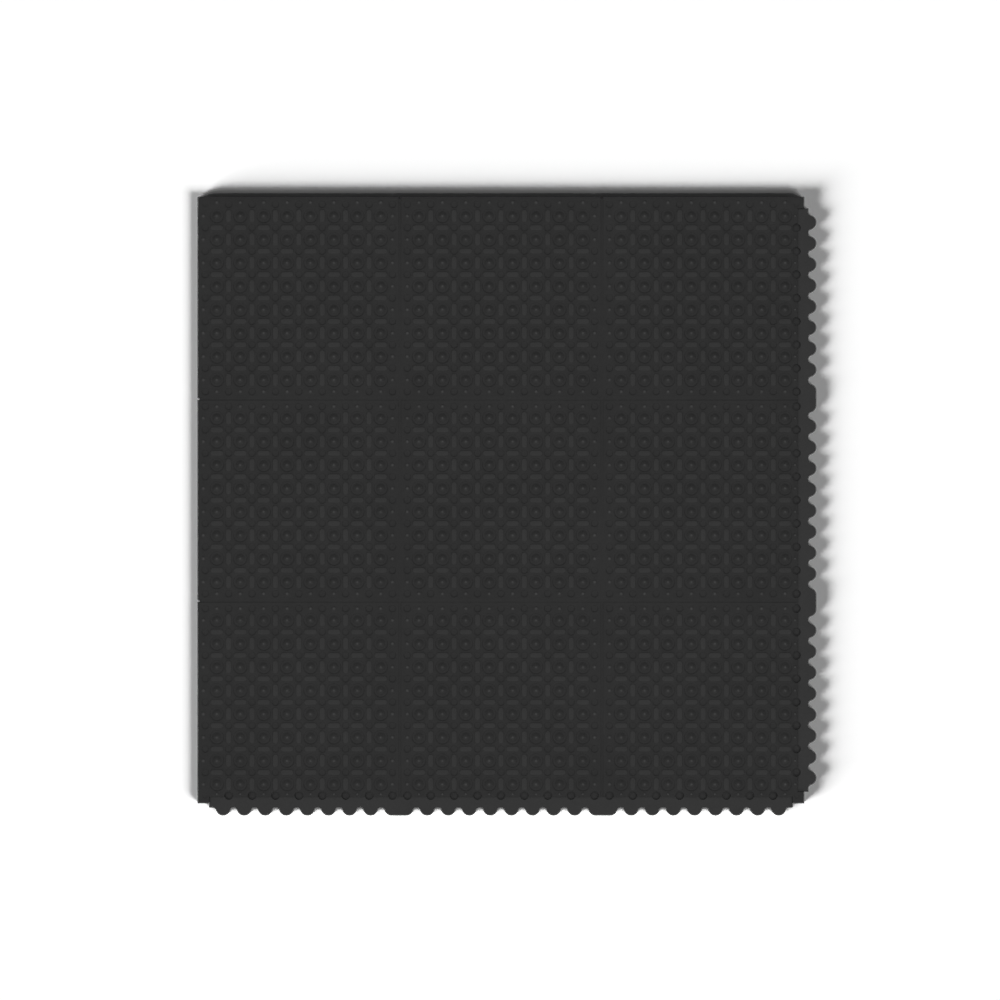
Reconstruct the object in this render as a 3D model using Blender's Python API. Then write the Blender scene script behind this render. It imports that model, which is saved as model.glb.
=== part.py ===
"""Interlocking anti-fatigue floor tile, moulded from rubber in one piece.

The tile lies on the floor with its domes up. Its origin is the middle of the square body, on the
underside. A low scalloped flange runs along the +X and -Y sides. The -X and +Y sides have a lip
with a recess below it, which lies over the flange of the next tile.
"""
import math

import bmesh
import bpy
from mathutils import Matrix, Vector

# Square body, in metres
MODULE = 0.3048
MODULES = 3
BODY = MODULE * MODULES
HALF = BODY / 2

# Heights above the floor
FLANGE_TOP = 0.0104
PLATE_TOP = 0.0134
DOME_TOP = 0.0159

# Joint along the edges
CORNER = 0.0172           # side of the full-height square left at each corner of the body
END_STEP = 0.0005         # how far from that square the flange starts
CUT_BACK = 0.0098         # width of flange left bare inside the body's edge
TIP_REACH = 0.0186        # how far a tab of the flange passes the body's edge
SCALLOP_DEPTH = 0.0119
SCALLOP_PITCH = 0.0318
SCALLOPS = 8              # tabs in each group, one group to a module
GROUP_PITCH = 0.3080
TAB_RADIUS = 0.0106
RECESS_DEPTH = 0.0200     # how far the recess reaches in under the lip
RECESS_TOP = 0.0108
RECESS_END_GAP = 0.0010   # spare length at each end of the recess

# Grooves between the modules
GROOVE_WIDTH = 0.0034
GROOVE_DEPTH = 0.0016

# Domes
DOMES = 8                 # along each side of a module
DOME_PITCH = 0.0353
DOME_RADIUS = 0.0068
DOME_SIDES = 6
DOME_ROOT = 0.0010        # how far a dome's solid runs down into the plate

# Pits that break the inner line of both flanges, each half a dome's pitch from its neighbours' domes
EDGE_PIT_RADIUS = 0.0067
EDGE_PIT_SIDES = 8
EDGE_PIT_FLOOR = 0.0060

# Steps in each arc of the scallops
TAB_STEPS = 3
NOTCH_STEPS = 2

# The blanks that are trimmed to the heights above
CUTTER_MARGIN = 0.0100    # how far a cutter passes the faces that it opens
BODY_BELOW = 0.0010       # how far the square blank runs below the floor
STRIP_BELOW = 0.0005
STRIP_TOP = 0.0120
STRIP_OVERLAP = 0.0050    # how far a flange's blank reaches into the body


def clear_scene():
    for obj in list(bpy.data.objects):
        bpy.data.objects.remove(obj, do_unlink=True)


def make_collection(name):
    collection = bpy.data.collections.new(name)
    bpy.context.scene.collection.children.link(collection)
    return collection


def rubber():
    material = bpy.data.materials.new("black_rubber")
    material.use_nodes = True
    shader = material.node_tree.nodes["Principled BSDF"]
    shader.inputs["Base Color"].default_value = (0.026, 0.026, 0.026, 1)
    shader.inputs["Roughness"].default_value = 0.6
    shader.inputs["Metallic"].default_value = 0
    return material


def outline_solid(name, points, low, high, collection):
    """Extrudes a flat outline from low to high: a filled curve, made a welded mesh."""
    curve = bpy.data.curves.new(name + "_outline", "CURVE")
    curve.dimensions = "2D"
    curve.fill_mode = "BOTH"
    curve.extrude = (high - low) / 2
    spline = curve.splines.new("POLY")
    spline.points.add(len(points) - 1)
    for point, (x, y) in zip(spline.points, points):
        point.co = (x, y, 0, 1)
    spline.use_cyclic_u = True
    outline = bpy.data.objects.new(name + "_outline", curve)
    outline.location.z = (low + high) / 2
    collection.objects.link(outline)

    evaluated = outline.evaluated_get(bpy.context.evaluated_depsgraph_get())
    mesh = bpy.data.meshes.new_from_object(evaluated)
    mesh.name = name
    solid = bpy.data.objects.new(name, mesh)
    solid.matrix_world = evaluated.matrix_world.copy()
    collection.objects.link(solid)
    bpy.data.objects.remove(outline, do_unlink=True)

    bm = bmesh.new()
    bm.from_mesh(mesh)
    bmesh.ops.remove_doubles(bm, verts=bm.verts, dist=1e-6)
    bmesh.ops.dissolve_limit(bm, angle_limit=math.radians(0.1), verts=bm.verts, edges=bm.edges)
    bmesh.ops.triangulate(bm, faces=bm.faces, ngon_method="BEAUTY")
    bmesh.ops.recalc_face_normals(bm, faces=bm.faces)
    bm.to_mesh(mesh)
    bm.free()
    return solid


def boxes(name, corners, collection):
    """One object of separate boxes, each given by its lowest and highest corner."""
    bm = bmesh.new()
    for low, high in corners:
        low, high = Vector(low), Vector(high)
        place = Matrix.Translation((low + high) / 2) @ Matrix.Diagonal((high - low).to_4d())
        bmesh.ops.create_cube(bm, size=1, matrix=place)
    return from_bmesh(name, bm, collection)


def from_bmesh(name, bm, collection):
    mesh = bpy.data.meshes.new(name)
    bm.to_mesh(mesh)
    bm.free()
    obj = bpy.data.objects.new(name, mesh)
    collection.objects.link(obj)
    return obj


def arc(centre, radius, start, end, steps):
    """Points along an arc, with both ends, its angles in radians."""
    angles = [start + (end - start) * i / steps for i in range(steps + 1)]
    return [(centre[0] + radius * math.cos(a), centre[1] + radius * math.sin(a)) for a in angles]


def scallop_side():
    """One flange edge along +X: (place along the edge, reach past the body), notch and tab in turn.

    Tabs and notches are arcs that run into each other. The last tab of a group and the first of the
    next make one wide tab over the groove between their modules.
    """
    both_radii = ((SCALLOP_PITCH / 2) ** 2 + SCALLOP_DEPTH ** 2) / (2 * SCALLOP_DEPTH)
    notch_radius = both_radii - TAB_RADIUS
    lean = math.asin(SCALLOP_PITCH / 2 / both_radii)
    tab_y = TIP_REACH - TAB_RADIUS
    notch_y = TIP_REACH - SCALLOP_DEPTH + notch_radius
    up, down = math.pi / 2, -math.pi / 2

    tips = []
    group_half = (SCALLOPS - 1) * SCALLOP_PITCH / 2
    for group in range(MODULES):
        middle = (group - (MODULES - 1) / 2) * GROUP_PITCH
        if group:
            wide_half = GROUP_PITCH / 2 - group_half - SCALLOP_PITCH
            seam = middle - GROUP_PITCH / 2
            tips.append((seam - wide_half, seam + wide_half))
        for i in range(SCALLOPS):
            tip = middle - group_half + i * SCALLOP_PITCH
            tips.append((tip, tip))

    points = []
    for left, right in tips:
        notch_left = (left - SCALLOP_PITCH / 2, notch_y)
        notch_right = (right + SCALLOP_PITCH / 2, notch_y)
        points += arc(notch_left, notch_radius, down, down + lean, NOTCH_STEPS)
        points += arc((left, tab_y), TAB_RADIUS, up + lean, up, TAB_STEPS)[1:]
        if right > left:
            points.append((right, TIP_REACH))
        points += arc((right, tab_y), TAB_RADIUS, up, up - lean, TAB_STEPS)[1:]
        points += arc(notch_right, notch_radius, down - lean, down, NOTCH_STEPS)[1:-1]
    points.append((tips[-1][1] + SCALLOP_PITCH / 2, TIP_REACH - SCALLOP_DEPTH))
    return points


def strip_outline():
    """The -Y flange, seen from above, from inside the body to its scalloped edge."""
    start = HALF - CORNER - END_STEP
    inner = -HALF + STRIP_OVERLAP
    root = -HALF - TIP_REACH + SCALLOP_DEPTH
    scallops = [(x, -HALF - reach) for x, reach in scallop_side()]
    return [(-start, inner), (-start, root)] + scallops + [(start, root), (start, inner)]


def ledge_box():
    """The space above the -Y flange, as a box that passes its tabs and the top of the plate."""
    length = HALF - CORNER
    return (
        (-length, -HALF - TIP_REACH - CUTTER_MARGIN, FLANGE_TOP),
        (length, -HALF + CUT_BACK, PLATE_TOP + CUTTER_MARGIN),
    )


def floor_box():
    """All that the blanks have below the underside."""
    reach = HALF + TIP_REACH + CUTTER_MARGIN
    return (-reach, -reach, -CUTTER_MARGIN), (reach, reach, 0)


def recess_box():
    """The recess under the -X lip, as a box that passes the side and the underside."""
    length = HALF - CORNER + RECESS_END_GAP
    return (
        (-HALF - CUTTER_MARGIN, -length, -CUTTER_MARGIN),
        (-HALF + RECESS_DEPTH, length, RECESS_TOP),
    )


def groove_boxes():
    """The two grooves that run along X, each as a box that passes both ends and the top."""
    reach = HALF + CUTTER_MARGIN
    seams = [(i - MODULES / 2) * MODULE for i in range(1, MODULES)]
    return [
        (
            (-reach, y - GROOVE_WIDTH / 2, PLATE_TOP - GROOVE_DEPTH),
            (reach, y + GROOVE_WIDTH / 2, PLATE_TOP + CUTTER_MARGIN),
        )
        for y in seams
    ]


def quarter_turn(box):
    """Turns a box by 90 degrees clockwise, seen from above, so that -X goes to +Y."""
    (x0, y0, z0), (x1, y1, z1) = box
    return (y0, -x1, z0), (y1, -x0, z1)


def counter_turn(box):
    """Turns a box by 90 degrees counter-clockwise, seen from above, so that -Y goes to +X."""
    (x0, y0, z0), (x1, y1, z1) = box
    return (-y1, x0, z0), (-y0, x1, z1)


def dome_centres():
    """The place of every dome, module by module."""
    span = (DOMES - 1) / 2
    along = [
        (module - (MODULES - 1) / 2) * MODULE + (i - span) * DOME_PITCH
        for module in range(MODULES)
        for i in range(DOMES)
    ]
    return [(x, y) for y in along for x in along]


def dome_solids(collection):
    """Every dome as a low cone whose slope crosses the plate's top at the dome's radius."""
    rise = DOME_TOP - PLATE_TOP
    depth = rise + DOME_ROOT
    bm = bmesh.new()
    for x, y in dome_centres():
        place = Matrix.Translation((x, y, DOME_TOP - depth / 2))
        place @= Matrix.Rotation(math.pi / DOME_SIDES, 4, "Z")
        bmesh.ops.create_cone(
            bm, cap_ends=True, segments=DOME_SIDES, radius1=DOME_RADIUS * depth / rise, radius2=0,
            depth=depth, matrix=place,
        )
    return from_bmesh("dome_solids", bm, collection)


def edge_pit_solids(collection):
    """The cutters of the pits along both flanges, which pass the top of the plate."""
    inset = MODULE / 2 - DOMES / 2 * DOME_PITCH
    top = PLATE_TOP + CUTTER_MARGIN
    bm = bmesh.new()
    for module in range(MODULES):
        for i in range(DOMES + 1):
            along = (module - (MODULES - 1) / 2) * MODULE + (i - DOMES / 2) * DOME_PITCH
            if abs(along) > HALF - CORNER:
                continue
            for x, y in ((HALF - inset, along), (along, inset - HALF)):
                place = Matrix.Translation((x, y, (EDGE_PIT_FLOOR + top) / 2))
                place @= Matrix.Rotation(math.pi / EDGE_PIT_SIDES, 4, "Z")
                bmesh.ops.create_cone(
                    bm, cap_ends=True, segments=EDGE_PIT_SIDES, radius1=EDGE_PIT_RADIUS,
                    radius2=EDGE_PIT_RADIUS, depth=top - EDGE_PIT_FLOOR, matrix=place,
                )
    return from_bmesh("edge_pit_solids", bm, collection)


def combine(target, operation, other):
    """Joins or cuts the target with another solid, which is then only a guide."""
    modifier = target.modifiers.new(other.name, "BOOLEAN")
    modifier.operation = operation
    modifier.solver = "EXACT"
    modifier.object = other
    other.hide_render = True
    other.display_type = "WIRE"


def build():
    clear_scene()
    parts = make_collection("anti_fatigue_floor_tile")
    cutters = make_collection("cutters")

    body = (-HALF, -HALF, -BODY_BELOW), (HALF, HALF, PLATE_TOP)
    tile = boxes("tile", [body], parts)
    tile.data.materials.append(rubber())
    grooves = groove_boxes()
    combine(tile, "DIFFERENCE", boxes("grooves_along_x", grooves, cutters))
    combine(tile, "DIFFERENCE", boxes("grooves_along_y", [quarter_turn(box) for box in grooves], cutters))
    combine(tile, "UNION", dome_solids(cutters))
    combine(tile, "DIFFERENCE", boxes("recess_left", [recess_box()], cutters))
    combine(tile, "DIFFERENCE", boxes("recess_back", [quarter_turn(recess_box())], cutters))
    front = outline_solid("flange_front", strip_outline(), -STRIP_BELOW, STRIP_TOP, cutters)
    right = front.copy()
    right.name = "flange_right"
    right.rotation_euler.z = math.pi / 2
    cutters.objects.link(right)
    combine(tile, "UNION", front)
    combine(tile, "UNION", right)
    combine(tile, "DIFFERENCE", edge_pit_solids(cutters))
    trims = [ledge_box(), counter_turn(ledge_box()), floor_box()]
    combine(tile, "DIFFERENCE", boxes("trims", trims, cutters))
    tile.modifiers.new("triangles", "TRIANGULATE").ngon_method = "BEAUTY"


build()
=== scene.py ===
"""Interlocking anti-fatigue floor tile: its moulded relief, its black rubber and a plain studio.

Shapes are worked out in millimetres and turned into metres when a mesh is made. Picture right is +X
and picture up is +Y. The relief is made module by module, each a closed solid on one closed body.
"""
import math

import bpy
import numpy as np
from mathutils import Matrix, Vector
from mathutils.geometry import delaunay_2d_cdt


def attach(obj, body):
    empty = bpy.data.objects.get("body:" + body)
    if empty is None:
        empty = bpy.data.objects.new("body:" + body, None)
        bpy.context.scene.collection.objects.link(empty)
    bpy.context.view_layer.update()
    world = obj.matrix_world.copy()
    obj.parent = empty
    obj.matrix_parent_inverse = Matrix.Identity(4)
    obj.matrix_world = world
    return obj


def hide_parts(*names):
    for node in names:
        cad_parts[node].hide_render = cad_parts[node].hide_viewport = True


MM = 0.001

# Square body, as in the source of the part
MODULE = 304.8
MODULES = 3
HALF = MODULE * MODULES / 2
SIDE = MODULE / 2
CORNER = 17.2               # full-height square at each end of a flange
END_OVERLAP = 0.1           # how far a flange runs into the square at each of its ends
CUT_BACK = 9.8              # from the body's side to the plate's edge above a flange
TIP_REACH = 18.6            # from the body's side to the tips of the tabs
SCALLOP_DEPTH = 11.9
SCALLOP_PITCH = 31.8
SCALLOPS = 8
GROUP_PITCH = 308.0
TAB_RADIUS = 10.6
RECESS_DEPTH = 20.0
RECESS_END_GAP = 1.0
FLANGE_TOP = 10.4
LIP_UNDERSIDE = 10.8
PLATE_TOP = 13.4

# Relief
PITCH = 35.3
DOMES = 8
PIT_INSET = SIDE - (DOMES / 2) * PITCH                          # from a module's edge to its outer pits
EDGE_PIT_RADIUS = 6.4
EDGE_PIT_FLOOR = 6.0
DOME_STEPS = 20
PIT_STEPS = 16
DOT_STEPS = 12
BAR_END_STEPS = 7
NOTCH_STEPS = 12

# Each form as rings from its rim inwards: (radius or inset, height above the plate), to its middle
DOME = [
    (11.3, 0.0), (11.0, -0.08), (10.6, -0.34), (10.1, -0.72), (9.7, -0.93), (9.2, -1.02), (8.3, -1.02),
    (7.4, -0.84), (6.6, -0.50), (5.4, 0.10), (4.2, 0.72), (3.0, 1.36), (2.1, 1.83), (1.3, 2.19), (0.6, 2.40),
    (0.0, 2.46),
]
PIT = [(6.0, 0.0), (5.7, -0.09), (5.3, -0.38), (4.8, -0.74), (4.2, -0.98), (2.8, -1.14), (0.0, -1.22)]
CORNER_PIT = [(5.0, 0.0), (4.6, -0.08), (4.1, -0.28), (3.4, -0.55), (2.6, -0.78), (1.6, -0.90), (0.0, -0.95)]
DOT = [(4.0, 0.0), (3.6, 0.13), (2.9, 0.50), (2.1, 0.92), (1.2, 1.26), (0.5, 1.40), (0.0, 1.43)]
LEDGE_DOT = [(2.8, 0.0), (2.6, 0.12), (2.1, 0.42), (1.5, 0.72), (0.8, 0.94), (0.0, 1.00)]
DOT_PLACES = {"seam": 141.2, "lip": 143.9, "ledge": 138.65}     # from the module's middle
BAR = [(0.0, 0.0), (0.35, 0.28), (0.75, 0.58), (1.25, 0.74)]
BAR_SIZE = (4.6, 10.2)                                          # half width, half length

# Sides of a module's relief: (inset at an outer side, inset at a seam, height outside, height at a seam)
SIDE_RINGS = [
    (0.45, 2.60, 0.0, 0.0),
    (0.20, 2.20, -0.07, -0.08),
    (0.05, 1.80, -0.25, -0.28),
    (0.00, 1.50, -0.55, -0.50),
    (0.00, 1.20, -1.00, -0.68),
    (0.00, 0.80, -1.40, -0.78),
    (0.00, 0.00, -1.80, -0.82),
    (0.00, 0.00, LIP_UNDERSIDE - PLATE_TOP, LIP_UNDERSIDE - PLATE_TOP),
]

# Notch through the lip at the end of each seam
NOTCH_HALF_WIDTH = 1.3
NOTCH_DEPTH = 2.4
NOTCH_TAPER = 0.3

# Wear of the rubber and painted light and shade on it, with heights from the plate's top
WEAR_AND_LIGHT_HEIGHT = 0.6           # a form this high is fully lightened where it is level: partly wear, partly painted light
FLANK_WEAR_AND_LIGHT_SHARE = 0.55           # share of that on a slope, so slopes are painted darker than level tops
TIP_HEIGHT = 0.9            # only what is higher gets a painted highlight on its tip
TIP_SLOPE = 0.88            # upward part of the normal from which a surface counts as level
# strength of the painted highlight on level tips
TIP_PAINTED_HIGHLIGHT = 2.9
PAINTED_SHADE_DEPTH = 1.5                  # depth from which walls are painted darker, as painted shade
FLANGE_WEAR_AND_LIGHT = 1.0             # flanges, lightened like raised tops: partly wear, partly painted light
PIT_FLOOR_PAINTED_LIGHT = 1.5              # floors of the pits along the flanges, painted lighter to lift their shade
PIT_FLOOR_BAND = 0.1

# Rubber: tones are linear grey; wear and painted light lighten it, and wear polishes
BASE_TONE = 0.0190
# tone added by wear and painted light: lighter raised tops, painted highlights on tips, painted shade on
# deep walls
WEAR_AND_LIGHT_TONE = 0.0084
PATCHES = (9.0, 0.07)       # noise scale and half spread of the tone
SPECKS = (420.0, 0.1)
SPECULAR = 0.25
ROUGHNESS = 0.56
ROUGHNESS_SPREAD = (60.0, 0.05)
WEAR_POLISH = 0.05
GRAIN_SCALES = (1100.0, 160.0)
COARSE_GRAIN = 1.5          # height of the coarse grain beside the fine one
BUMP_STRENGTH = 0.25
BUMP_DISTANCE = 0.00012

# Studio, in metres and degrees: azimuth, elevation, angle across, strength
FLOOR_LIGHTS = {"floor_light_right": (52, 31.5, 29, 3.10), "floor_light_left": (-58, 13.3, 28, 8.2)}
TILE_LIGHTS = {
    "tile_key_right": (50, 36, 50, 0.12),
    "tile_key_left": (-50, 36, 50, 0.12),
    "tile_fill": (0, 82, 130, 2.2),
}
WORLD_STRENGTH = 0.032
FLOOR_REACH = 25.0
FLOOR_COLOUR = (0.9, 0.9, 0.9, 1)
FLOOR_ROUGHNESS = 0.9
TONE_CURVE = ((0.07, 0.07), (0.20, 0.10), (0.45, 0.205), (0.62, 0.405), (0.85, 0.79))   # floor only
SENSOR_WIDTH = 36.0
CAMERA_DISTANCE = 4.0
FRAME_WIDTH = 1.5080        # width of the picture at the plate's top
CAMERA_SHIFT = (-0.0014, 0.0001)

# Flange blank: (inset, height) from the floor up to its top
FLANGE_RINGS = [
    (0.30, 0.05), (0.0, 0.35), (0.0, FLANGE_TOP - 0.70), (0.14, FLANGE_TOP - 0.32),
    (0.38, FLANGE_TOP - 0.10), (0.75, FLANGE_TOP),
]
TAB_STEPS = 12
FLANGE_NOTCH_STEPS = 8
STRIP_OVERLAP = 16.0        # how far a flange runs on into the body

# Shading: edges that turn by more degrees than this are sharp
RELIEF_SHARP = 50
BODY_SHARP = 40
SAME_POINT = 1e-6


class Solid:
    """The points and faces of one closed solid, built ring by ring."""

    def __init__(self):
        self.points = []
        self.faces = []
        self.land = []

    def ring(self, outline, height):
        """Adds an outline. The height is one number, or one for each point."""
        heights = height if isinstance(height, list) else [height] * len(outline)
        first = len(self.points)
        self.points += [(x, y, z) for (x, y), z in zip(outline, heights)]
        return list(range(first, len(self.points)))

    def band(self, outer, inner):
        """Faces between two rings of as many points. They face up if the first is outside."""
        for i, a in enumerate(outer):
            j = (i + 1) % len(outer)
            self.faces.append((a, outer[j], inner[j], inner[i]))

    def rings(self, outlines):
        """Bands through several (outline, height) rings. Returns the first ring and the last."""
        made = [self.ring(outline, height) for outline, height in outlines]
        for outer, inner in zip(made, made[1:]):
            self.band(outer, inner)
        return made[0], made[-1]

    def fan(self, ring, centre):
        """Closes a ring on its middle point."""
        middle = len(self.points)
        self.points.append(centre)
        for i, a in enumerate(ring):
            self.faces.append((a, ring[(i + 1) % len(ring)], middle))

    def flats(self, boundary, holes):
        """Triangles from a boundary ring to the rims of all that stands or sinks inside it."""
        loops = [boundary] + holes
        order = [index for loop in loops for index in loop]
        place = {index: k for k, index in enumerate(order)}
        flat = [Vector(self.points[index][:2]) for index in order]
        faces = [[place[index] for index in loop] for loop in loops]
        _, _, triangles, origin, _, owners = delaunay_2d_cdt(flat, [], faces, 1, SAME_POINT)
        first = len(self.faces)
        for triangle, owner in zip(triangles, owners):
            if list(owner) == [0]:
                self.faces.append(tuple(order[origin[v][0]] for v in triangle))
        self.land += range(first, len(self.faces))

    def mesh(self, name):
        mesh = bpy.data.meshes.new(name)
        mesh.from_pydata([(x * MM, y * MM, z * MM) for x, y, z in self.points], [], self.faces)
        mesh.update()
        smooth(mesh, RELIEF_SHARP, self.land)
        return mesh


def smooth(mesh, degrees, flat=()):
    """Smooth shading, but for the flat faces, with the edges sharp that turn by more than this."""
    shading = np.ones(len(mesh.polygons), dtype=bool)
    shading[list(flat)] = False
    mesh.polygons.foreach_set("use_smooth", shading)
    mesh.set_sharp_from_angle(angle=math.radians(degrees))


def circle(x, y, radius, steps):
    turns = [2 * math.pi * (i + 0.5) / steps for i in range(steps)]
    return [(x + radius * math.cos(a), y + radius * math.sin(a)) for a in turns]


def arc(centre, radius, start, end, steps):
    """Points along an arc, with both ends, its angles in radians."""
    angles = [start + (end - start) * i / steps for i in range(steps + 1)]
    return [(centre[0] + radius * math.cos(a), centre[1] + radius * math.sin(a)) for a in angles]


def bar_outline(x, y, half_width, half_length, level):
    """A bar with round ends, counter-clockwise. A level bar lies along X."""
    run = half_length - half_width
    up = arc((0, run), half_width, 0, math.pi, BAR_END_STEPS)
    down = arc((0, -run), half_width, math.pi, 2 * math.pi, BAR_END_STEPS)
    if level:
        return [(x - v, y + u) for u, v in up + down]
    return [(x + u, y + v) for u, v in up + down]


def round_form(solid, x, y, profile, steps):
    """A turned form, as rings from its rim to its middle. Returns the rim."""
    rim, last = solid.rings([(circle(x, y, r, steps), PLATE_TOP + z) for r, z in profile[:-1]])
    solid.fan(last, (x, y, PLATE_TOP + profile[-1][1]))
    return rim


def bar(solid, x, y, size, profile, level):
    """A raised bar. Returns its rim."""
    half_width, half_length = size
    rings = [
        (bar_outline(x, y, half_width - d, half_length - d, level), PLATE_TOP + z)
        for d, z in profile
    ]
    rim, last = solid.rings(rings)
    solid.faces.append(tuple(last))
    return rim


def ledge_side(inset, square_at_start, square_at_end):
    """A side cut back for the flange, as (place along the side, inset), with its half-round pits."""
    line = CUT_BACK + inset
    square = SIDE - CORNER
    points = [(-square - inset, inset), (-square - inset, line)] if square_at_start else []
    radius = EDGE_PIT_RADIUS + inset
    depth = PIT_INSET - line
    lean = math.asin(depth / radius)
    for i in range(DOMES + 1):
        centre = (i - DOMES / 2) * PITCH
        in_square = (square_at_start and i == 0) or (square_at_end and i == DOMES)
        if not in_square:
            points += arc((centre, PIT_INSET), radius, math.pi + lean, -lean, NOTCH_STEPS)
    if square_at_end:
        points += [(square + inset, line), (square + inset, inset)]
    return points


TURNS = {
    "right": lambda s, t: (SIDE - t, s),
    "top": lambda s, t: (-s, SIDE - t),
    "left": lambda s, t: (t - SIDE, -s),
    "bottom": lambda s, t: (s, t - SIDE),
}
ROUND = ["right", "top", "left", "bottom"]


def side_kinds(column, row):
    """What each side of a module is: a seam, a lip or a ledge. Column 0 is on the left, row 0 below."""
    last = MODULES - 1
    return {
        "right": "ledge" if column == last else "seam",
        "top": "lip" if row == last else "seam",
        "left": "lip" if column == 0 else "seam",
        "bottom": "ledge" if row == 0 else "seam",
    }


def end_inset(kind, other, outer, seam):
    """How far in a side lies where it meets its neighbour."""
    if kind == "seam":
        return seam
    if kind == "ledge" and other == "seam":
        return CUT_BACK + outer
    return outer


def module_ring(kinds, ring):
    """One ring round a module's relief, as (outline, heights), counter-clockwise."""
    outer, seam, outer_height, seam_height = ring[0], ring[1], PLATE_TOP + ring[2], PLATE_TOP + ring[3]
    outline, heights = [], []
    for k, name in enumerate(ROUND):
        before, after = ROUND[k - 1], ROUND[(k + 1) % len(ROUND)]
        turn = TURNS[name]
        here = end_inset(kinds[name], kinds[before], outer, seam)
        there = end_inset(kinds[before], kinds[name], outer, seam)
        corner = [(there, here)]
        wall = max(seam, NOTCH_HALF_WIDTH)
        deep = outer + NOTCH_DEPTH
        if (kinds[before], kinds[name]) == ("lip", "seam"):
            corner = [(outer, wall), (deep, wall), (deep + NOTCH_TAPER, seam)]
        if (kinds[before], kinds[name]) == ("seam", "lip"):
            corner = [(seam, deep + NOTCH_TAPER), (wall, deep), (wall, outer)]
        outline += [turn(s - SIDE, t) for s, t in corner]
        at_seam = "seam" in (kinds[name], kinds[before])
        heights += [seam_height if at_seam else outer_height] * len(corner)
        if kinds[name] == "ledge":
            side = ledge_side(outer, kinds[before] != "seam", kinds[after] != "seam")
            outline += [turn(s, t) for s, t in side]
            heights += [outer_height] * len(side)
    return outline, heights


def module_relief(column, row):
    """One module with all of its relief, as a closed solid about its own middle."""
    kinds = side_kinds(column, row)
    solid = Solid()
    rings = [solid.ring(*module_ring(kinds, ring)) for ring in SIDE_RINGS]
    for inner, outer in zip(rings, rings[1:]):
        solid.band(outer, inner)
    solid.faces.append(tuple(reversed(rings[-1])))

    half = DOMES / 2
    domes = [(i + 0.5 - half) * PITCH for i in range(DOMES)]
    between = [(i + 1 - half) * PITCH for i in range(DOMES - 1)]
    pits = [(i - half) * PITCH for i in range(DOMES + 1)]
    edge = half * PITCH

    rims = [round_form(solid, x, y, DOME, DOME_STEPS) for y in domes for x in domes]
    rims += [bar(solid, x, y, BAR_SIZE, BAR, False) for y in domes for x in between]
    rims += [bar(solid, x, y, BAR_SIZE, BAR, True) for y in between for x in domes]
    for name in ROUND:
        profile = LEDGE_DOT if kinds[name] == "ledge" else DOT
        for c in domes:
            x, y = TURNS[name](c, SIDE - DOT_PLACES[kinds[name]])
            rims.append(round_form(solid, x, y, profile, DOT_STEPS))
    for y in pits:
        for x in pits:
            in_right = kinds["right"] == "ledge" and x == edge
            in_bottom = kinds["bottom"] == "ledge" and y == -edge
            at_corner = abs(x) == edge and abs(y) == edge
            square = at_corner and (
                kinds["right" if x > 0 else "left"] != "seam"
                and kinds["top" if y > 0 else "bottom"] != "seam"
            )
            if square:
                rims.append(round_form(solid, x, y, CORNER_PIT, PIT_STEPS))
            elif not (in_right or in_bottom):
                rims.append(round_form(solid, x, y, PIT, PIT_STEPS))
    solid.flats(rings[0], rims)
    return solid


def link(name, mesh):
    obj = bpy.data.objects.new(name, mesh)
    bpy.context.scene.collection.objects.link(obj)
    return obj


def scallop_side(inset):
    """One flange edge: (place along the edge, reach past the body), notch and tab in turn."""
    both = ((SCALLOP_PITCH / 2) ** 2 + SCALLOP_DEPTH ** 2) / (2 * SCALLOP_DEPTH)
    notch_radius = both - TAB_RADIUS
    lean = math.asin(SCALLOP_PITCH / 2 / both)
    tab_y = TIP_REACH - TAB_RADIUS
    notch_y = TIP_REACH - SCALLOP_DEPTH + notch_radius
    tab, notch = TAB_RADIUS - inset, notch_radius + inset
    up, down = math.pi / 2, -math.pi / 2

    tips = []
    group_half = (SCALLOPS - 1) * SCALLOP_PITCH / 2
    for group in range(MODULES):
        middle = (group - (MODULES - 1) / 2) * GROUP_PITCH
        if group:
            wide_half = GROUP_PITCH / 2 - group_half - SCALLOP_PITCH
            seam = middle - GROUP_PITCH / 2
            tips.append((seam - wide_half, seam + wide_half))
        first = middle - group_half
        tips += [(first + i * SCALLOP_PITCH,) * 2 for i in range(SCALLOPS)]

    points = []
    for left, right in tips:
        before = (left - SCALLOP_PITCH / 2, notch_y)
        after = (right + SCALLOP_PITCH / 2, notch_y)
        points += arc(before, notch, down, down + lean, FLANGE_NOTCH_STEPS)
        points += arc((left, tab_y), tab, up + lean, up, TAB_STEPS)[1:]
        if right > left:
            points.append((right, TIP_REACH - inset))
        points += arc((right, tab_y), tab, up, up - lean, TAB_STEPS)[1:]
        points += arc(after, notch, down - lean, down, FLANGE_NOTCH_STEPS)[1:-1]
    points.append((tips[-1][1] + SCALLOP_PITCH / 2, TIP_REACH - SCALLOP_DEPTH - inset))
    return points


def flange_blank():
    """The flange along the -Y side, with its edges rounded, running on into the body."""
    solid = Solid()
    rings = []
    for inset, height in FLANGE_RINGS:
        start = HALF - CORNER + END_OVERLAP
        inner = -HALF + STRIP_OVERLAP
        root = -HALF - TIP_REACH + SCALLOP_DEPTH + inset
        scallops = [(x, -HALF - reach) for x, reach in scallop_side(inset)]
        outline = [(-start, inner), (-start, root)] + scallops + [(start, root), (start, inner)]
        rings.append(solid.ring(outline, height))
    for lower, upper in zip(rings, rings[1:]):
        solid.band(lower, upper)
    solid.faces.append(tuple(rings[-1]))
    solid.faces.append(tuple(reversed(rings[0])))
    return solid


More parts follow.
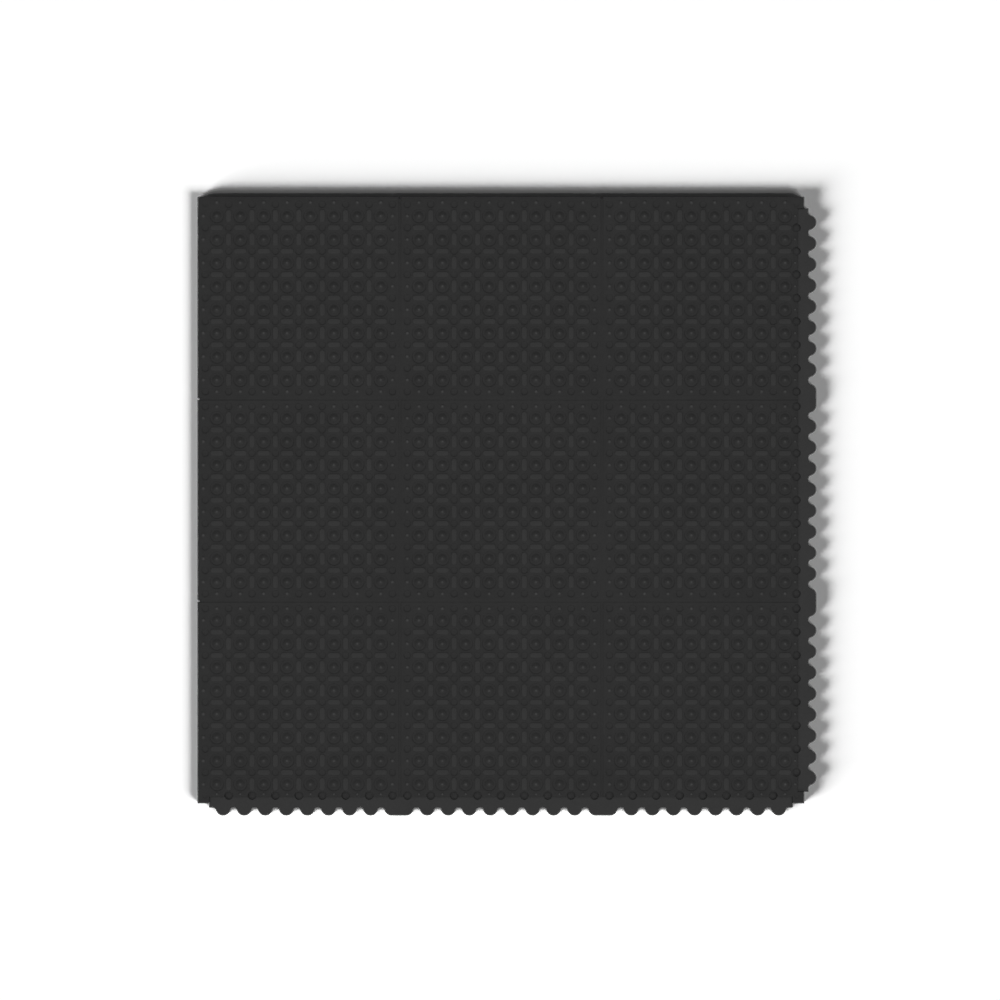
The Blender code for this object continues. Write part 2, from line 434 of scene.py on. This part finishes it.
def slab():
    """The body under the relief: square, cut back at the ledges and recessed under the lips."""
    square = HALF - CORNER
    ledge = HALF - CUT_BACK
    recess = HALF - RECESS_DEPTH
    recess_end = square + RECESS_END_GAP
    outline = [
        (HALF, -HALF), (HALF, -square), (ledge, -square), (ledge, square), (HALF, square),
        (HALF, HALF), (recess_end, HALF), (recess_end, recess), (-recess_end, recess),
        (-recess_end, HALF), (-HALF, HALF), (-HALF, recess_end), (-recess, recess_end),
        (-recess, -recess_end), (-HALF, -recess_end), (-HALF, -HALF), (-square, -HALF),
        (-square, -ledge), (square, -ledge), (square, -HALF),
    ]
    solid = Solid()
    low, high = solid.rings([(outline, 0.0), (outline, LIP_UNDERSIDE)])
    solid.faces.append(tuple(high))
    solid.faces.append(tuple(reversed(low)))
    return solid


def edge_pits():
    """The cutters of the half-round pits along both flanges."""
    solid = Solid()
    place = HALF - PIT_INSET
    for module in range(MODULES):
        for i in range(DOMES + 1):
            along = (module - (MODULES - 1) / 2) * MODULE + (i - DOMES / 2) * PITCH
            if abs(along) > HALF - CORNER:
                continue
            for x, y in ((place, along), (along, -place)):
                outline = circle(x, y, EDGE_PIT_RADIUS, 2 * NOTCH_STEPS)
                low, high = solid.rings([(outline, EDGE_PIT_FLOOR), (outline, PLATE_TOP)])
                solid.faces.append(tuple(high))
                solid.faces.append(tuple(reversed(low)))
    return solid


def body_mesh():
    """The slab with both flanges joined on and the pits cut, as one closed mesh."""
    front = link("front_blank", flange_blank().mesh("front_blank"))
    right = link("right_blank", front.data.copy())
    right.data.transform(Matrix.Rotation(math.pi / 2, 4, "Z"))
    pits = link("pit_blank", edge_pits().mesh("pit_blank"))
    body = link("body_blank", slab().mesh("body_blank"))
    for operation, other in (("UNION", front), ("UNION", right), ("DIFFERENCE", pits)):
        modifier = body.modifiers.new(other.name, "BOOLEAN")
        modifier.operation = operation
        modifier.solver = "EXACT"
        modifier.object = other
    body.modifiers.new("triangles", "TRIANGULATE")
    depsgraph = bpy.context.evaluated_depsgraph_get()
    mesh = bpy.data.meshes.new_from_object(body.evaluated_get(depsgraph))
    mesh.name = "tile_body"
    for obj in (front, right, pits, body):
        bpy.data.objects.remove(obj, do_unlink=True)
    return mesh


def node(tree, kind, **values):
    """A node with its sockets or settings set by name."""
    made = tree.nodes.new(kind)
    for key, value in values.items():
        name = key.replace("_", " ")
        socket = next((s for s in made.inputs if s.name.lower() == name.lower()), None)
        if socket is not None and not hasattr(made, key):
            socket.default_value = value
        else:
            setattr(made, key, value)
    return made


def rubber():
    """Matt black rubber: moulded grain, a faint bloom in patches, raised tops lighter partly by wear and
    partly as painted light, painted highlights on tips and painted shade on deep walls.
    """
    material = bpy.data.materials.new("black_rubber")
    material.use_nodes = True
    tree = material.node_tree
    shader = tree.nodes["Principled BSDF"]
    shader.inputs["Metallic"].default_value = 0
    shader.inputs["Specular IOR Level"].default_value = SPECULAR
    place = node(tree, "ShaderNodeTexCoord").outputs["Object"]

    def noise(scale, detail, roughness):
        made = node(tree, "ShaderNodeTexNoise", scale=scale, detail=detail, roughness=roughness)
        tree.links.new(place, made.inputs["Vector"])
        return made.outputs["Fac"]

    def spread(value, low, high):
        """The middle of a noise, from 0.3 to 0.7, spread from low to high."""
        made = tree.nodes.new("ShaderNodeMapRange")
        made.inputs["To Min"].default_value = low
        made.inputs["To Max"].default_value = high
        made.inputs["From Min"].default_value = 0.3
        made.inputs["From Max"].default_value = 0.7
        tree.links.new(value, made.inputs["Value"])
        return made.outputs["Result"]

    def math_node(operation, first, second):
        made = tree.nodes.new("ShaderNodeMath")
        made.operation = operation
        for socket, value in zip(made.inputs, (first, second)):
            if isinstance(value, (int, float)):
                socket.default_value = value
            else:
                tree.links.new(value, socket)
        return made.outputs[0]

    wear_and_painted_light = node(tree, "ShaderNodeAttribute", attribute_name="wear_and_painted_light").outputs["Fac"]
    patches = spread(noise(PATCHES[0], 4.0, 0.6), 1 - PATCHES[1], 1 + PATCHES[1])
    specks = spread(noise(SPECKS[0], 3.0, 0.6), 1 - SPECKS[1], 1 + SPECKS[1])
    tone = math_node("MULTIPLY", patches, specks)
    # colour lightened by wear and painted light, and darkened as painted shade on deep walls
    worn_and_lit_tone = math_node("ADD", math_node("MULTIPLY", wear_and_painted_light, WEAR_AND_LIGHT_TONE), BASE_TONE)
    level = math_node("MULTIPLY", worn_and_lit_tone, tone)
    colour = tree.nodes.new("ShaderNodeCombineColor")
    for socket in colour.inputs:
        tree.links.new(level, socket)
    tree.links.new(colour.outputs["Color"], shader.inputs["Base Color"])

    scale, half = ROUGHNESS_SPREAD
    rough = math_node("ADD", spread(noise(scale, 5.0, 0.65), -half, half), ROUGHNESS)
    polish = math_node("MULTIPLY", wear_and_painted_light, WEAR_POLISH)
    tree.links.new(math_node("SUBTRACT", rough, polish), shader.inputs["Roughness"])

    fine, coarse = noise(GRAIN_SCALES[0], 3.0, 0.6), noise(GRAIN_SCALES[1], 3.0, 0.5)
    grain = math_node("ADD", fine, math_node("MULTIPLY", coarse, COARSE_GRAIN))
    bump = node(tree, "ShaderNodeBump", strength=BUMP_STRENGTH, distance=BUMP_DISTANCE)
    tree.links.new(grain, bump.inputs["Height"])
    tree.links.new(bump.outputs["Normal"], shader.inputs["Normal"])
    return material


def set_wear_and_painted_light(mesh):
    """Stores how light each point is painted: raised tops lighter, partly for wear and partly as painted
    light, level tips most as a painted highlight, and deep walls darker as painted shade.
    """
    count = len(mesh.vertices)
    places, normals = np.empty(count * 3), np.empty(count * 3)
    mesh.vertices.foreach_get("co", places)
    mesh.vertices.foreach_get("normal", normals)
    height = places[2::3] / MM - PLATE_TOP
    level = np.clip((normals[2::3] - TIP_SLOPE) / (1 - TIP_SLOPE), 0, 1)
    # raised tops lighter and slopes less so: partly wear, partly painted light and shade
    raised = np.clip(height / WEAR_AND_LIGHT_HEIGHT, 0, 1) * (FLANK_WEAR_AND_LIGHT_SHARE + (1 - FLANK_WEAR_AND_LIGHT_SHARE) * level)
    # painted highlight on level tips of the domes and dots
    tip_highlight = (height > TIP_HEIGHT) * level
    # painted shade on walls that lie deep
    deep = np.clip((-height - PAINTED_SHADE_DEPTH) / PAINTED_SHADE_DEPTH, 0, 1)
    values = raised + TIP_PAINTED_HIGHLIGHT * tip_highlight - deep
    # flange tops lightened like raised tops, partly wear and partly painted light; pit floors painted
    # lighter to lift their shade
    if mesh.name == "tile_body":
        values = np.where(places[2::3] / MM > EDGE_PIT_FLOOR + PIT_FLOOR_BAND, FLANGE_WEAR_AND_LIGHT, PIT_FLOOR_PAINTED_LIGHT)
    wear_and_painted_light = mesh.attributes.new("wear_and_painted_light", "FLOAT", "POINT")
    wear_and_painted_light.data.foreach_set("value", values.astype(np.float32))


def sun(name, azimuth, elevation, spread, strength, receivers):
    """Soft light from far off. Azimuth 0 comes from -Y and 90 from +X, all in degrees."""
    data = bpy.data.lights.new(name, "SUN")
    data.angle = math.radians(spread)
    data.energy = strength
    lamp = link(name, data)
    a, e = math.radians(azimuth), math.radians(elevation)
    toward = Vector((math.sin(a) * math.cos(e), -math.cos(a) * math.cos(e), math.sin(e)))
    lamp.rotation_euler = toward.to_track_quat("Z", "Y").to_euler()
    lamp.light_linking.receiver_collection = receivers
    return lamp


def group(name, objects):
    made = bpy.data.collections.new(name)
    for obj in objects:
        made.objects.link(obj)
    return made


def pale_floor():
    mesh = bpy.data.meshes.new("floor")
    reach = FLOOR_REACH
    corners = [(-reach, -reach, 0), (reach, -reach, 0), (reach, reach, 0), (-reach, reach, 0)]
    mesh.from_pydata(corners, [], [(0, 1, 2, 3)])
    floor = link("floor", mesh)
    paint = bpy.data.materials.new("pale_floor")
    paint.use_nodes = True
    shader = paint.node_tree.nodes["Principled BSDF"]
    shader.inputs["Base Color"].default_value = FLOOR_COLOUR
    shader.inputs["Roughness"].default_value = FLOOR_ROUGHNESS
    mesh.materials.append(paint)
    return floor


def lights(floor, pieces):
    """Two low lights that shape the shadows on the floor, and softer ones for the dark rubber."""
    world = bpy.data.worlds.new("studio")
    bpy.context.scene.world = world
    world.use_nodes = True
    world.node_tree.nodes["Background"].inputs["Color"].default_value = (1, 1, 1, 1)
    world.node_tree.nodes["Background"].inputs["Strength"].default_value = WORLD_STRENGTH
    on_floor = group("lit_floor", [floor])
    on_tile = group("lit_tile", pieces)
    for table, receivers in ((FLOOR_LIGHTS, on_floor), (TILE_LIGHTS, on_tile)):
        for name, values in table.items():
            sun(name, *values, receivers)


def straight_down_camera():
    data = bpy.data.cameras.new("camera")
    data.sensor_width = SENSOR_WIDTH
    data.lens = data.sensor_width * CAMERA_DISTANCE / FRAME_WIDTH
    data.clip_end = 50
    camera = link("camera", data)
    camera.location = (*CAMERA_SHIFT, CAMERA_DISTANCE + PLATE_TOP * MM)
    bpy.context.scene.camera = camera


def view_curve():
    """Keeps the rubber's tones and deepens the floor's shadows."""
    settings = bpy.context.scene.view_settings
    settings.view_transform = "Standard"
    settings.use_curve_mapping = True
    curve = settings.curve_mapping.curves[3]
    for x, y in TONE_CURVE:
        curve.points.new(x, y).handle_type = "VECTOR"
    settings.curve_mapping.update()


def studio(pieces):
    lights(pale_floor(), pieces)
    straight_down_camera()
    view_curve()


def build():
    finish = rubber()
    made = []
    for row in range(MODULES):
        for column in range(MODULES):
            solid = module_relief(column, row)
            mesh = solid.mesh("relief_%d_%d" % (column + 1, row + 1))
            middle = [(k - (MODULES - 1) / 2) * MODULE * MM for k in (column, row)]
            mesh.transform(Matrix.Translation((middle[0], middle[1], 0)))
            made.append(link(mesh.name, mesh))
    body = body_mesh()
    smooth(body, BODY_SHARP)
    made.append(link("tile_body", body))
    for piece in made:
        set_wear_and_painted_light(piece.data)
        piece.data.materials.clear()
        piece.data.materials.append(finish)
        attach(piece, "root")
        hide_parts("tile")
    return made


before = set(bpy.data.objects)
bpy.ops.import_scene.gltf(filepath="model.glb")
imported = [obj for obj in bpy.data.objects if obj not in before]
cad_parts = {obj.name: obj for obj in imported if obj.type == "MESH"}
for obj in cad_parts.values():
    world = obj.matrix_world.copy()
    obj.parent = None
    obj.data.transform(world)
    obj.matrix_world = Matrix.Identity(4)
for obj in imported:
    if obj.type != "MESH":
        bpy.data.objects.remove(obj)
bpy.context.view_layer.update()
studio(build())
